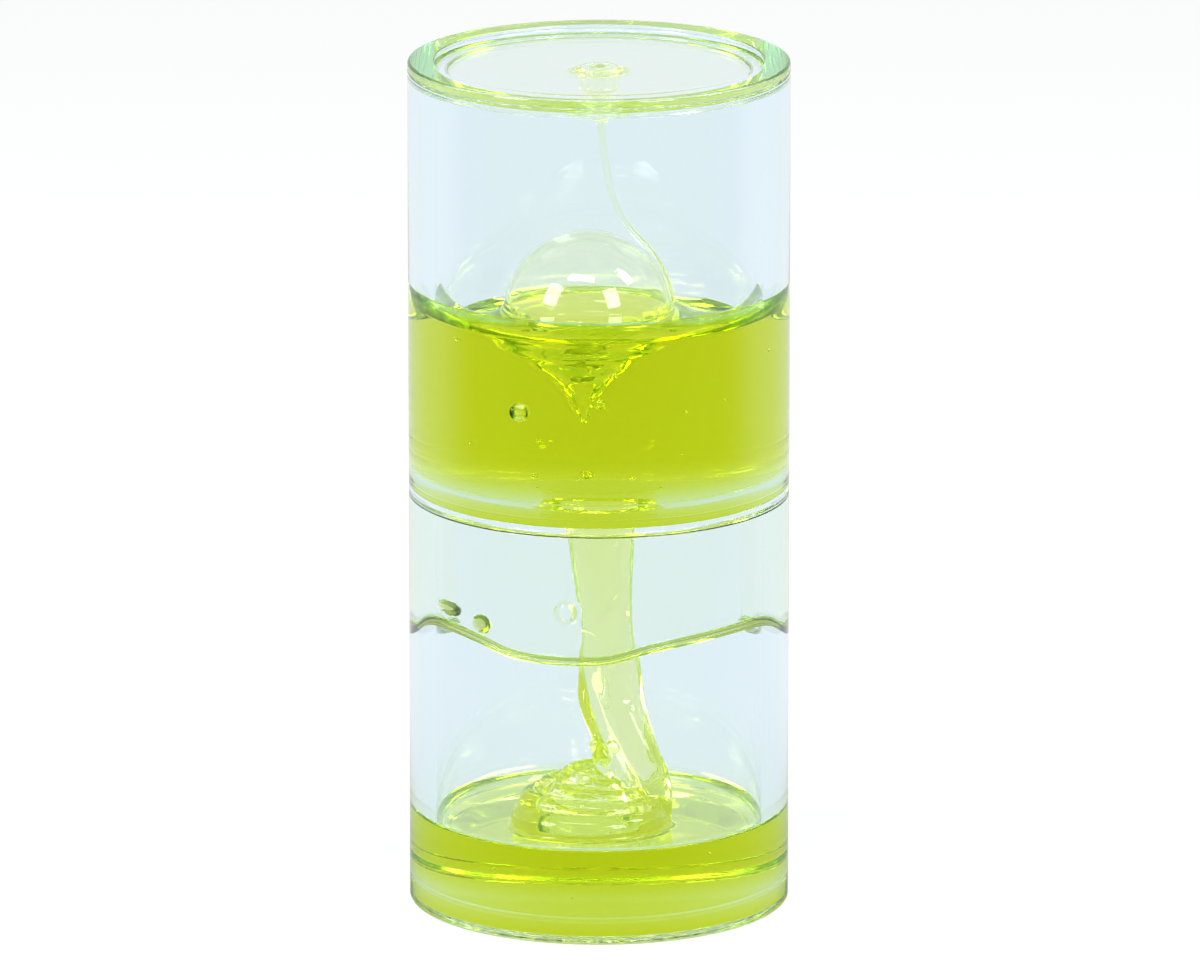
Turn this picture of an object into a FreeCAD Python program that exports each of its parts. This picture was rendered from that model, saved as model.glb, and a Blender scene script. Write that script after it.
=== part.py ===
"""Liquid motion timer: two clear chambers in line, parted by a holed divider, with a charge of
lime gel that is halfway through its run from the upper chamber to the lower one.

Millimetres, +Z up. The origin is the centre of the base, and the photographed side faces -Y.
"""
import FreeCAD, Part

import math
import os

import Sketcher

Vector = FreeCAD.Vector

SIZES = (
    ("outer_diameter", 66.0, "across the tubes and caps"),
    ("overall_height", 149.0, "rim to rim"),
    ("wall_thickness", 4.6, "tube wall"),
    ("end_rounding", 0.6, "outer edge of both rims"),
    ("seam_chamfer", 0.15, "edge break on both sides of a cemented seam"),
    ("cap_flange", 1.5, "cap flange that lies on the tube's end"),
    ("cap_recess", 1.2, "dish in the cap's outer face"),
    ("cap_plate", 1.4, "web of the cap"),
    ("dish_rounding", 0.7, "foot of the dish"),
    ("divider_flange", 2.0, "divider rim between the two tubes"),
    ("divider_plate", 3.0, "web of the divider"),
    ("spigot_rise", 1.2, "ring that stands past the web, into the bore"),
    ("spigot_width", 2.1, "wall of that ring"),
    ("spigot_gap", 0.05, "cement gap between the ring and the bore"),
    ("spigot_chamfer", 0.3, "lead-in on the ring"),
    ("hole_diameter", 13.0, "flow hole in the divider"),
    ("hole_rounding", 1.2, "both mouths of the flow hole"),
    ("boss_diameter", 6.0, "filling boss inside the top cap"),
    ("boss_length", 4.4, "boss below the web"),
    ("boss_fillet", 0.6, "root of the boss"),
    ("plug_diameter", 4.1, "shank of the filling plug"),
    ("plug_gap", 0.04, "between plug and boss"),
    ("plug_head", 6.4, "head of the filling plug"),
    ("plug_head_depth", 0.6, "head, sunk flush in the dish"),
    ("plug_overhang", 0.9, "shank past the end of the boss"),
    ("plug_chamfer", 0.25, "end of the shank"),
    ("gel_gap", 0.3, "between curved gel and the wall beside it"),
    ("upper_depth", 28.5, "gel above the divider's web"),
    ("upper_meniscus", 4.6, "climb of the upper gel up the wall"),
    ("upper_meniscus_width", 4.8, "reach of that climb"),
    ("lower_depth", 12.8, "gel above the lower cap's web"),
    ("lower_meniscus", 0.8, "climb of the lower gel up the wall"),
    ("lower_meniscus_width", 1.6, "reach of that climb"),
    ("bubble_diameter", 28.8, "dome of the big bubble, outside"),
    ("bubble_film", 0.6, "gel skin of the dome"),
    ("bubble_offset", 2.0, "bubble's axis left of the timer's"),
    ("bubble_skirt", 1.0, "foot of the dome, where the skin thickens"),
    ("bowl_depth", 10.5, "hollow under the bubble, to its shoulder"),
    ("bowl_neck", 6.0, "across that shoulder"),
    ("bowl_radius", 15.5, "curve of the hollow's side"),
    ("tail_depth", 7.0, "tail below the shoulder, to its tip"),
    ("tail_radius", 9.0, "curve of the tail's side"),
    ("tail_tip", 0.6, "blunt end of the tail"),
    ("film_thickness", 0.8, "gel left under the top cap"),
    ("drip_skin", 0.5, "gel round the filling boss"),
    ("drip_root", 3.2, "reach and climb of the gel's fillet round the boss"),
    ("drip_length", 2.6, "gel under the plug"),
    ("thread_top", 2.2, "thread where it leaves the drip"),
    ("thread_middle", 1.2, "thread halfway down"),
    ("thread_foot", 0.9, "thread where it meets the dome"),
    ("stream_width", 10.6, "stream, as the photographed side shows it"),
    ("stream_depth", 8.4, "stream from front to back"),
    ("fold_rope", 6.4, "folded gel at the end of the pile"),
    ("fold_radius", 9.4, "lowest fold of the pile"),
    ("fold_rise", 2.9, "from one fold to the next"),
    ("fold_left", 0.8, "pile's centre left of the axis"),
    ("fold_front", 8.6, "pile's centre in front of the axis"),
    ("foot_rise", 7.7, "stream's end above the lower gel"),
    ("foot_right", 7.2, "stream's end right of the axis"),
    ("foot_width", 9.6, "stream's end, across"),
    ("foot_depth", 7.4, "stream's end, front to back"),
    ("mound_height", 6.0, "gel heaped up within the folds"),
    ("curtain_length", 22.25, "gel sheet on the lower wall, below the divider's ring"),
    ("curtain_film", 0.6, "thickness of that sheet"),
    ("curtain_bead", 1.5, "bead along its lower edge"),
    ("drop_width", 5.0, "gel drops on the sheet, across"),
    ("drop_height", 3.2, "those drops, up the wall"),
    ("drop_stand", 1.1, "how far they stand off the sheet"),
)

# Angles, in degrees. The curtain faces the photographed side, and its drops lie left of that.
FRONT = -90
CURTAIN_SPAN = 216
DROP_BEARINGS = (47, 66)
THREAD_LANDING = 51

# Shares of the sizes that they multiply.
MENISCUS_SHARE = 1.3
DRIP_SHARE = 2.2
BEAD_SHARE = 1.4
DROP_CLIMB_SHARE = 0.28
DROP_SINK_SHARE = 0.5
FOLD_SINK_SHARE = 0.4
BEND_SHARE = 0.5
BEND_FOOT_SHARE = 0.2

# Thread: share of the way down, share of the way right, thickness.
THREAD_SHARES = (
    (0.04, 0.03, 1.4),
    (0.25, 0.11, 1.1),
    (0.51, 0.25, 1.0),
    (0.80, 0.56, 0.95),
)

# Stream: shares of the way down, right and to the front, then of the width and the depth.
STREAM_SHARES = (
    (0.05, 0.0, 0.0, 1.16, 1.46),
    (0.106, 0.0, 0.0, 1.14, 1.4),
    (0.24, 0.055, 0.06, 1.075, 1.2),
    (0.39, 0.11, 0.14, 0.934, 1.05),
    (0.54, 0.21, 0.26, 0.84, 0.95),
    (0.63, 0.25, 0.37, 1.0, 0.95),
    (0.77, 0.40, 0.60, 1.0, 0.9),
    (0.88, 0.68, 0.84, 0.97, 0.9),
)

# Rings of the pile above the lowest: shares of its radius, its thickness and its radius to the right.
FOLD_SHARES = (
    (0.72, 1.0, 0.02),
    (0.27, 0.66, -0.57),
)
TOUCH = 1e-4


class Length:
    """A size with its value in millimetres and the sheet expression that it stands for."""

    def __init__(self, value, text):
        self.value, self.text = float(value), text

    def _with(self, other, sign, value):
        other_text = other.text if isinstance(other, Length) else repr(other)
        if sign in "+-" and other_text == "0":
            return self
        if sign == "+" and self.text == "0":
            return other
        return Length(value, f"({self.text} {sign} {other_text})")

    def __add__(self, other):
        return self._with(other, "+", self.value + amount(other))

    def __sub__(self, other):
        return self._with(other, "-", self.value - amount(other))

    def __mul__(self, share):
        return self._with(share, "*", self.value * amount(share))

    def __truediv__(self, share):
        return self._with(share, "/", self.value / amount(share))

    def __neg__(self):
        return self if self.text == "0" else Length(-self.value, f"(-{self.text})")


def amount(size):
    return size.value if isinstance(size, Length) else float(size)


doc = FreeCAD.newDocument("liquid_timer")
sheet = doc.addObject("Spreadsheet::Sheet", "sizes")
for row, (alias, number, note) in enumerate(SIZES, start=1):
    sheet.set(f"A{row}", note)
    sheet.set(f"B{row}", str(number))
    sheet.setAlias(f"B{row}", alias)
doc.recompute()


def size(alias):
    return Length(sheet.get(alias), f"sizes.{alias}")


zero = Length(0, "0")
outer = size("outer_diameter") / 2
bore = outer - size("wall_thickness")
height = size("overall_height")
middle = height / 2
spigot_outer = bore - size("spigot_gap")
spigot_inner = spigot_outer - size("spigot_width")
web_depth = size("cap_recess") + size("cap_plate")
spigot_end = web_depth + size("spigot_rise")
boss_end = web_depth + size("boss_length")
plug_end = boss_end + size("plug_overhang")
drip_end = plug_end + size("drip_length")
boss_radius = size("boss_diameter") / 2
plug_radius = size("plug_diameter") / 2
plug_head_radius = size("plug_head") / 2
divider_top = middle + size("divider_plate") / 2
divider_under = middle - size("divider_plate") / 2
hole_radius = size("hole_diameter") / 2
ring_under = divider_under - size("spigot_rise")
gel_gap = size("gel_gap")
gel_bore = bore - gel_gap
upper_level = divider_top + size("upper_depth")
lower_level = web_depth + size("lower_depth")
bubble_outer = size("bubble_diameter") / 2
bubble_inner = bubble_outer - size("bubble_film")


def body(label):
    made = doc.addObject("PartDesign::Body", label)
    made.Label = label
    return made


def plane(owner, role):
    return next(f for f in owner.Origin.OriginFeatures if f.Role == role)


def arc_between(start, end, radius, left):
    """The short arc from start to end, whose centre lies left or right of the way between them."""
    way = end - start
    half = way.Length / 2
    reach = math.sqrt(max(radius * radius - half * half, 0.0))
    side = Vector(-way.y, way.x, 0).normalize() * (reach if left else -reach)
    centre = start + way / 2 + side
    first = math.atan2(start.y - centre.y, start.x - centre.x)
    last = math.atan2(end.y - centre.y, end.x - centre.x)
    circle = Part.Circle(centre, Vector(0, 0, 1), radius)
    turn = math.tau
    if (last - first) % turn < math.pi:
        return Part.ArcOfCircle(circle, first, first + (last - first) % turn), (1, 2)
    return Part.ArcOfCircle(circle, last, last + (first - last) % turn), (2, 1)


def outline_sketch(owner, name, corners, axis_left=None):
    """A closed outline in the XZ plane, all its corners held by the sheet. A corner is (across, up),
    and one that an arc leads to is (across, up, radius, side of the centre). With axis_left it gets
    a turning axis of its own."""
    sketch = owner.newObject("Sketcher::SketchObject", name)
    sketch.AttachmentSupport = [(plane(owner, "XZ_Plane"), "")]
    sketch.MapMode = "FlatFace"
    shift = zero if axis_left is None else -axis_left
    points = [Vector(amount(c[0] + shift), amount(c[1]), 0) for c in corners]
    ends = []
    for index, corner in enumerate(corners):
        start, end = points[index - 1], points[index]
        if len(corner) == 4:
            curve, order = arc_between(start, end, amount(corner[2]), corner[3] == "left")
            edge = sketch.addGeometry(curve, False)
            lock(sketch, Sketcher.Constraint("Radius", edge, amount(corner[2])), corner[2])
        else:
            edge, order = sketch.addGeometry(Part.LineSegment(start, end), False), (1, 2)
        ends.append((edge, order))
    for index, (edge, order) in enumerate(ends):
        after, after_order = ends[(index + 1) % len(ends)]
        sketch.addConstraint(Sketcher.Constraint("Coincident", edge, order[1], after, after_order[0]))
        across, up = corners[index][0] + shift, corners[index][1]
        place(sketch, edge, order[1], "DistanceX", across)
        place(sketch, edge, order[1], "DistanceY", up)
    if axis_left is not None:
        foot, head = Vector(-amount(axis_left), 0, 0), Vector(-amount(axis_left), amount(height), 0)
        axis = sketch.addGeometry(Part.LineSegment(foot, head), True)
        place(sketch, axis, 1, "DistanceX", -axis_left)
        place(sketch, axis, 1, "DistanceY", zero)
        place(sketch, axis, 2, "DistanceX", -axis_left)
        place(sketch, axis, 2, "DistanceY", height)
    return sketch


def place(sketch, edge, end, kind, where):
    """Holds one end of an edge at a distance from the sketch's origin."""
    if where.text == zero.text:
        on_axis = -2 if kind == "DistanceX" else -1
        sketch.addConstraint(Sketcher.Constraint("PointOnObject", edge, end, on_axis))
        return
    lock(sketch, Sketcher.Constraint(kind, -1, 1, edge, end, amount(where)), where)


def lock(sketch, constraint, length):
    index = sketch.addConstraint(constraint)
    sketch.setExpression(f"Constraints[{index}]", length.text)


def turned(owner, kind, name, corners, axis_left=None, span=360):
    """A Revolution or a Groove of an outline about the timer's axis, or its own."""
    sketch = outline_sketch(owner, name + "_outline", corners, axis_left)
    feature = owner.newObject("PartDesign::" + kind, name)
    feature.Profile = sketch
    feature.ReferenceAxis = (sketch, ["V_Axis" if axis_left is None else "Axis0"])
    feature.Angle = span
    feature.Midplane = span < 360
    sketch.Visibility = False
    doc.recompute()
    return feature


def rings(feature, radius, heights):
    """Names of the circular edges of that radius at those heights."""
    found = []
    for index, edge in enumerate(feature.Shape.Edges, start=1):
        curve = edge.Curve
        if isinstance(curve, Part.Circle) and abs(curve.Radius - amount(radius)) < TOUCH:
            if any(abs(curve.Center.z - amount(z)) < TOUCH for z in heights):
                found.append(f"Edge{index}")
    return found


def dress(owner, kind, base, edges, length):
    """A Fillet or Chamfer on edges of the body's last feature."""
    feature = owner.newObject("PartDesign::" + kind, f"{owner.Label}_{kind.lower()}")
    feature.Base = (base, edges)
    prop = "Radius" if kind == "Fillet" else "Size"
    setattr(feature, prop, amount(length))
    feature.setExpression(prop, length.text)
    doc.recompute()
    return feature


def tube(label, foot, head):
    """A plain length of clear tube, with its cemented edges just broken."""
    made = body(label)
    base = turned(made, "Revolution", label + "_turned", (
        (bore, foot), (outer, foot), (outer, head), (bore, head),
    ))
    dress(made, "Chamfer", base, rings(base, outer, (foot, head)), size("seam_chamfer"))
    return made


def cap(label, level, filled):
    """An end cap. level turns a depth below the rim into a height, so one outline serves both ends.
    The filled cap has the boss and the stepped bore for the filling plug."""
    made = body(label)
    rim = (
        (bore, level(size("cap_recess"))),
        (bore, level(zero)),
        (outer, level(zero)),
        (outer, level(size("cap_flange"))),
        (spigot_outer, level(size("cap_flange"))),
        (spigot_outer, level(spigot_end)),
        (spigot_inner, level(spigot_end)),
        (spigot_inner, level(web_depth)),
    )
    if filled:
        shank_bore = plug_radius + size("plug_gap")
        head_bore = plug_head_radius + size("plug_gap")
        shoulder = level(size("cap_recess") + size("plug_head_depth"))
        centre = (
            (boss_radius, level(web_depth)),
            (boss_radius, level(boss_end)),
            (shank_bore, level(boss_end)),
            (shank_bore, shoulder),
            (head_bore, shoulder),
            (head_bore, level(size("cap_recess"))),
        )
    else:
        centre = ((zero, level(web_depth)), (zero, level(size("cap_recess"))))
    base = turned(made, "Revolution", label + "_turned", rim + centre)
    base = dress(made, "Fillet", base, rings(base, outer, (level(zero),)), size("end_rounding"))
    base = dress(made, "Fillet", base, rings(base, bore, (level(size("cap_recess")),)), size("dish_rounding"))
    if filled:
        base = dress(made, "Fillet", base, rings(base, boss_radius, (level(web_depth),)), size("boss_fillet"))
    ring_edge = rings(base, spigot_outer, (level(spigot_end),))
    base = dress(made, "Chamfer", base, ring_edge, size("spigot_chamfer"))
    dress(made, "Chamfer", base, rings(base, outer, (level(size("cap_flange")),)), size("seam_chamfer"))


def plug():
    """The filling plug: a flush head in the dish and a shank through the boss."""
    made = body("fill_plug")
    shoulder = from_top(size("cap_recess") + size("plug_head_depth"))
    base = turned(made, "Revolution", "plug_turned", (
        (zero, from_top(size("cap_recess"))),
        (plug_head_radius, from_top(size("cap_recess"))),
        (plug_head_radius, shoulder),
        (plug_radius, shoulder),
        (plug_radius, from_top(plug_end)),
        (zero, from_top(plug_end)),
    ))
    dress(made, "Chamfer", base, rings(base, plug_radius, (from_top(plug_end),)), size("plug_chamfer"))


def from_base(depth):
    return zero + depth


def from_top(depth):
    return height - depth


def divider():
    """The web between the chambers: a rim that the tubes butt on, a locating ring on each side,
    and a flow hole with round mouths."""
    made = body("divider")
    rim_top = middle + size("divider_flange") / 2
    rim_under = middle - size("divider_flange") / 2
    ring_top = divider_top + size("spigot_rise")
    base = turned(made, "Revolution", "divider_turned", (
        (hole_radius, divider_under),
        (spigot_inner, divider_under),
        (spigot_inner, ring_under),
        (spigot_outer, ring_under),
        (spigot_outer, rim_under),
        (outer, rim_under),
        (outer, rim_top),
        (spigot_outer, rim_top),
        (spigot_outer, ring_top),
        (spigot_inner, ring_top),
        (spigot_inner, divider_top),
        (hole_radius, divider_top),
    ))
    mouths = rings(base, hole_radius, (divider_under, divider_top))
    base = dress(made, "Fillet", base, mouths, size("hole_rounding"))
    ring_edges = rings(base, spigot_outer, (ring_under, ring_top))
    base = dress(made, "Chamfer", base, ring_edges, size("spigot_chamfer"))
    dress(made, "Chamfer", base, rings(base, outer, (rim_under, rim_top)), size("seam_chamfer"))


def pool(label, web, surface, which):
    """Gel that stands on a web and over the ring at its edge, with a climb at the wall."""
    made = body(label)
    climb, climb_width = size(which + "_meniscus"), size(which + "_meniscus_width")
    over_ring = web + size("spigot_rise") + gel_gap
    turned(made, "Revolution", label + "_turned", (
        (zero, web),
        (spigot_inner - gel_gap, web),
        (spigot_inner - gel_gap, over_ring),
        (gel_bore, over_ring),
        (gel_bore, surface + climb),
        (gel_bore - climb_width, surface, climb_width * MENISCUS_SHARE, "right"),
        (zero, surface),
    ))
    return made


def upper_gel():
    """The upper gel, with the hollow under the big bubble: a bowl that narrows to a tail."""
    made = pool("upper_gel_pool", divider_top, upper_level, "upper")
    bowl_foot = upper_level - size("bowl_depth")
    turned(made, "Groove", "bubble_hollow", (
        (zero, upper_level + size("bubble_skirt")),
        (bubble_inner, upper_level + size("bubble_skirt")),
        (bubble_inner, upper_level),
        (size("bowl_neck") / 2, bowl_foot, size("bowl_radius"), "right"),
        (size("tail_tip") / 2, bowl_foot - size("tail_depth"), size("tail_radius"), "left"),
        (zero, bowl_foot - size("tail_depth")),
    ), size("bubble_offset"))


def surface_bubble():
    """The dome's skin of gel, thicker at its foot, standing on the upper gel."""
    made = body("surface_bubble")
    turned(made, "Revolution", "dome_turned", (
        (zero, upper_level + bubble_inner),
        (bubble_inner, upper_level, bubble_inner, "right"),
        (bubble_outer + size("bubble_skirt"), upper_level),
        (bubble_outer, upper_level + size("bubble_skirt"), size("bubble_skirt"), "right"),
        (zero, upper_level + bubble_outer + size("bubble_skirt"), bubble_outer, "left"),
    ), size("bubble_offset"))


def cap_gel():
    """Gel that clings under the top cap, climbs round the boss and drips from its end."""
    made = body("cap_gel_film")
    film_under = web_depth + size("film_thickness")
    skin = boss_radius + size("drip_skin") + gel_gap
    root = size("drip_root")
    turned(made, "Revolution", "cap_gel_turned", (
        (boss_radius + size("boss_fillet") + gel_gap, from_top(web_depth)),
        (spigot_inner - gel_gap, from_top(web_depth)),
        (spigot_inner - gel_gap, from_top(film_under)),
        (skin + root, from_top(film_under)),
        (skin, from_top(film_under + root), root, "left"),
        (skin, from_top(boss_end + gel_gap)),
        (size("thread_top") / 2, from_top(drip_end), size("drip_length") * DRIP_SHARE, "left"),
        (zero, from_top(drip_end)),
        (zero, from_top(plug_end + gel_gap)),
        (plug_radius + gel_gap, from_top(plug_end + gel_gap)),
        (plug_radius + gel_gap, from_top(boss_end + gel_gap)),
        (boss_radius + gel_gap, from_top(boss_end + gel_gap)),
        (boss_radius + gel_gap, from_top(web_depth + size("boss_fillet") + gel_gap)),
    ))


def lower_curtain():
    """A sheet of gel that slid down the photographed side of the lower wall: a thin film from the
    divider's ring to a thick beaded edge, with two drops standing on it."""
    made = body("wall_gel_curtain")
    bead = size("curtain_bead")
    edge = ring_under - size("curtain_length")
    film = gel_bore - size("curtain_film")
    turned(made, "Revolution", "curtain_turned", (
        (gel_bore, ring_under),
        (film, ring_under),
        (film, edge + bead * 2),
        (gel_bore - bead, edge + bead / 2, bead * BEAD_SHARE, "left"),
        (gel_bore - bead / 2, edge, bead / 2, "left"),
        (gel_bore, edge + bead / 2, bead / 2, "left"),
    ), None, CURTAIN_SPAN)
    axis_reach = film - size("drop_stand") * DROP_SINK_SHARE
    for index, bearing in enumerate(DROP_BEARINGS, start=1):
        drop = made.newObject("PartDesign::AdditiveEllipsoid", f"wall_drop_{index}")
        drop.AttachmentSupport = [(plane(made, "XY_Plane"), "")]
        drop.MapMode = "FlatFace"
        turn = FreeCAD.Rotation(Vector(0, 0, 1), -bearing)
        drop.AttachmentOffset = FreeCAD.Placement(Vector(), turn)
        across, along = math.cos(math.radians(bearing)), -math.sin(math.radians(bearing))
        for prop, length in (
            ("Radius1", size("drop_height") / 2),
            ("Radius2", size("drop_stand")),
            ("Radius3", size("drop_width") / 2),
            ("AttachmentOffset.Base.x", axis_reach * across),
            ("AttachmentOffset.Base.y", axis_reach * along),
            ("AttachmentOffset.Base.z", edge + size("curtain_length") * DROP_CLIMB_SHARE),
        ):
            drop.setExpression(prop, length.text)
        doc.recompute()
    made.Placement = FreeCAD.Placement(Vector(), FreeCAD.Rotation(Vector(0, 0, 1), FRONT))


def strand(label, stations):
    """A rope of gel through stations of (centre, width, depth). Its ends are level, and the rest is
    square to its way."""
    wires = []
    down = Vector(0, 0, -1)
    for index, (centre, width, depth) in enumerate(stations):
        inside = 0 < index < len(stations) - 1
        way = stations[index + 1][0] - stations[index - 1][0] if inside else down
        ellipse = Part.Ellipse(Vector(), max(width, depth) / 2, min(width, depth) / 2).toShape()
        if depth > width:
            ellipse.rotate(Vector(), Vector(0, 0, 1), 90)
        ring = Part.Wire(ellipse)
        ring.Placement = FreeCAD.Placement(centre, FreeCAD.Rotation(down, way))
        wires.append(ring)
    made = doc.addObject("Part::Feature", label)
    made.Label = label
    made.Shape = Part.makeLoft(wires, True, False)
    return made


def thread():
    """The thread of gel that the drip draws out, down to the flank of the dome."""
    head = Vector(0, 0, amount(from_top(drip_end)))
    reach = amount(bubble_outer + gel_gap + size("thread_foot") / 2)
    centre = Vector(-amount(size("bubble_offset")), 0, amount(upper_level + size("bubble_skirt")))
    landing = math.radians(THREAD_LANDING)
    foot = centre + Vector(math.cos(landing), 0, math.sin(landing)) * reach
    top, middle_thickness, end = (amount(size("thread_" + where)) for where in ("top", "middle", "foot"))
    stations = [(head, top, top)]
    for down, right, share in THREAD_SHARES:
        point = Vector(head.x + (foot.x - head.x) * right, 0, head.z + (foot.z - head.z) * down)
        stations.append((point, middle_thickness * share, middle_thickness * share))
    stations.append((foot, end, end))
    strand("gel_thread", stations)


def stream():
    """The strand that runs from the upper gel through the hole and down to the folds."""
    head, foot = amount(divider_top), amount(lower_level + size("foot_rise"))
    across, forward = amount(size("foot_right")), -amount(size("fold_front"))
    throat = amount(hole_radius - gel_gap) * 2
    stations = [(Vector(0, 0, head), throat, throat)]
    for down, right, front, wide, deep in STREAM_SHARES:
        centre = Vector(across * right, forward * front, head + (foot - head) * down)
        stations.append((centre, amount(size("stream_width")) * wide, amount(size("stream_depth")) * deep))
    stations.append((Vector(across, forward, foot), amount(size("foot_width")), amount(size("foot_depth"))))
    strand("gel_stream", stations)


def folds():
    """The pile of folded strand on the lower gel: rings that sank into each other, the heap within
    them, and the bend that takes the stream in."""
    pile = body("fold_pile")
    rope = size("fold_rope") / 2
    radius = size("fold_radius")
    centre = lower_level + rope * FOLD_SINK_SHARE
    turned(pile, "Revolution", "lowest_fold", (
        (zero, lower_level + size("mound_height")),
        (zero, lower_level),
        (radius + rope, lower_level),
        (radius + rope, centre),
        (radius, centre + rope, rope, "left"),
    ), size("fold_left"))
    for index, (wide, thick, right) in enumerate(FOLD_SHARES, start=1):
        ring, thickness = radius * wide, rope * thick
        level = centre + size("fold_rise") * index
        turned(pile, "Revolution", f"fold_{index}", (
            (ring + thickness, level, thickness, "left"),
            (ring, level + thickness, thickness, "left"),
            (ring - thickness, level, thickness, "left"),
            (ring, level - thickness, thickness, "left"),
        ), size("fold_left") - radius * right)
    front = -size("fold_front")
    pile.setExpression("Placement.Base.y", front.text)
    rim = radius - size("fold_left")
    foot = size("foot_right")
    width, depth, thick = (amount(size(alias)) for alias in ("foot_width", "foot_depth", "fold_rope"))

    def point(right, up):
        return Vector(amount(right), amount(front), amount(lower_level + up))

    bend = strand("fold_bend", [
        (point(foot, size("foot_rise")), width, depth),
        (point(foot + (rim - foot) * BEND_SHARE, size("foot_rise") * BEND_SHARE), width, depth),
        (point(rim, rope * BEND_FOOT_SHARE), thick, thick),
    ])
    made = doc.addObject("Part::MultiFuse", "gel_folds")
    made.Label = "gel_folds"
    made.Shapes = [pile, bend]


for label, foot, head in (
    ("lower_tube", size("cap_flange"), middle - size("divider_flange") / 2),
    ("upper_tube", middle + size("divider_flange") / 2, height - size("cap_flange")),
):
    tube(label, foot, head)
cap("bottom_cap", from_base, False)
cap("top_cap", from_top, True)
plug()
divider()
upper_gel()
pool("lower_gel_pool", web_depth, lower_level, "lower")
surface_bubble()
cap_gel()
thread()
stream()
folds()
lower_curtain()
doc.recompute()

NODES = (
    "bottom_cap", "lower_tube", "divider", "upper_tube", "top_cap", "fill_plug",
    "cap_gel_film", "gel_thread", "surface_bubble", "upper_gel_pool",
    "gel_stream", "gel_folds", "lower_gel_pool", "wall_gel_curtain",
)
for made in doc.Objects:
    if "Invalid" in made.State or "Error" in made.State:
        raise RuntimeError(f"{made.Label} failed: {made.State}")
os.makedirs("parts", exist_ok=True)
for label in NODES:
    made = doc.getObjectsByLabel(label)[0]
    if made.Shape.isNull() or not made.Shape.isValid():
        raise RuntimeError(f"{label} has no valid shape")
    made.Shape.exportStep(f"parts/{label}.step")
    print(label, len(made.Shape.Solids), round(made.Shape.Volume), made.Shape.optimalBoundingBox())
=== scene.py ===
"""Liquid motion timer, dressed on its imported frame: one clear vessel with its filling plug, and the
lime gel, from the film under the top cap down to the folds on the lower pool.

Sizes are in millimetres, as in the solids, and meshes are written in metres. The photographed side
faces -Y.
"""
import math

import bmesh
import bpy
import numpy as np
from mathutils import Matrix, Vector


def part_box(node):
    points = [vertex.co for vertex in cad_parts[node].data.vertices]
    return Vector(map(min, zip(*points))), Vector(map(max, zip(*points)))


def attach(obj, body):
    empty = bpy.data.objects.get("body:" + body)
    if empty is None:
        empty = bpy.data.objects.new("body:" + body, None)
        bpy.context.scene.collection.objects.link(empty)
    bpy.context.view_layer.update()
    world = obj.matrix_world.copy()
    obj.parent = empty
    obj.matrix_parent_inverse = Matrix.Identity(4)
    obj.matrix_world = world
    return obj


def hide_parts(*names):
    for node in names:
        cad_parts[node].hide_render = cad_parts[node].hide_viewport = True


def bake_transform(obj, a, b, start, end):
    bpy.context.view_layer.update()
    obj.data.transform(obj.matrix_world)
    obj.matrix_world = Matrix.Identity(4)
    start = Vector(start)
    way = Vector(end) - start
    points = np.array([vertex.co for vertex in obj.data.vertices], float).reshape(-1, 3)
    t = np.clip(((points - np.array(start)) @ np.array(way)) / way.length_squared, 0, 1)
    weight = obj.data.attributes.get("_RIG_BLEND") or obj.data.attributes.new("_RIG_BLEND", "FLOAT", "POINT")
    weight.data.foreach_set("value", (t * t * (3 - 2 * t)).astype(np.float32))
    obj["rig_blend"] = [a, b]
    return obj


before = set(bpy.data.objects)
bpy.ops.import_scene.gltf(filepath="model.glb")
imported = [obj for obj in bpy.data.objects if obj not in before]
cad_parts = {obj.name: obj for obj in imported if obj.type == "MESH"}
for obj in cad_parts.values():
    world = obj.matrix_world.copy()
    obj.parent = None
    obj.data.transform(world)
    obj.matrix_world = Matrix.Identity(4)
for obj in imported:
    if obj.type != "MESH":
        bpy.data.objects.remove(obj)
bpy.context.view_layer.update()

MM = 0.001


def edge_of(node, end, axis=2):
    """One coordinate of a node's lowest (end 0) or highest (end 1) corner, in millimetres."""
    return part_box(node)[end][axis] / MM


# Vessel.
OUTER = edge_of("lower_tube", 1, 0)
HEIGHT = edge_of("top_cap", 1)
MIDDLE = HEIGHT / 2
WALL = 4.6
BORE = OUTER - WALL
RECESS = 1.2
# The base's recess is shallower than in the solids and the floor lies a hair under the base, so
# that its edge shows lime down to the table, as in the photograph.
BASE_RECESS = 0.35
FLOOR_GAP = 0.04
END_PLATE = 1.4
FLOOR = RECESS + END_PLATE
CEILING = HEIGHT - FLOOR
RING = 1.2
RING_BORE = 26.25
HALF_DIVIDER = 1.5
DIVIDER_TOP = MIDDLE + HALF_DIVIDER
DIVIDER_UNDER = MIDDLE - HALF_DIVIDER
HOLE = 6.5
MOUTH = 1.2
BOSS = 3.0
BOSS_END = edge_of("top_cap", 0)
PLUG_HEAD = 3.2
PLUG_HEAD_DEPTH = 0.6
PLUG_SHANK = 2.05
PLUG_GAP = 0.04
PLUG_END = edge_of("fill_plug", 0)
SEAM_GROOVE = 0.07
DIVIDER_SEAM_GROOVE = 0.012
SEAM_WIDTH = 0.15
SEAM_HOLD = 0.35
SEAM_ROUNDING = 0.03
AROUND = 256
LEAST_ROUNDING = 0.08
STRAIGHT = 0.05

# Gel reaches this far into the plastic that it wets, so that no air shows between the two.
WETTING = 0.02

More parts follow.
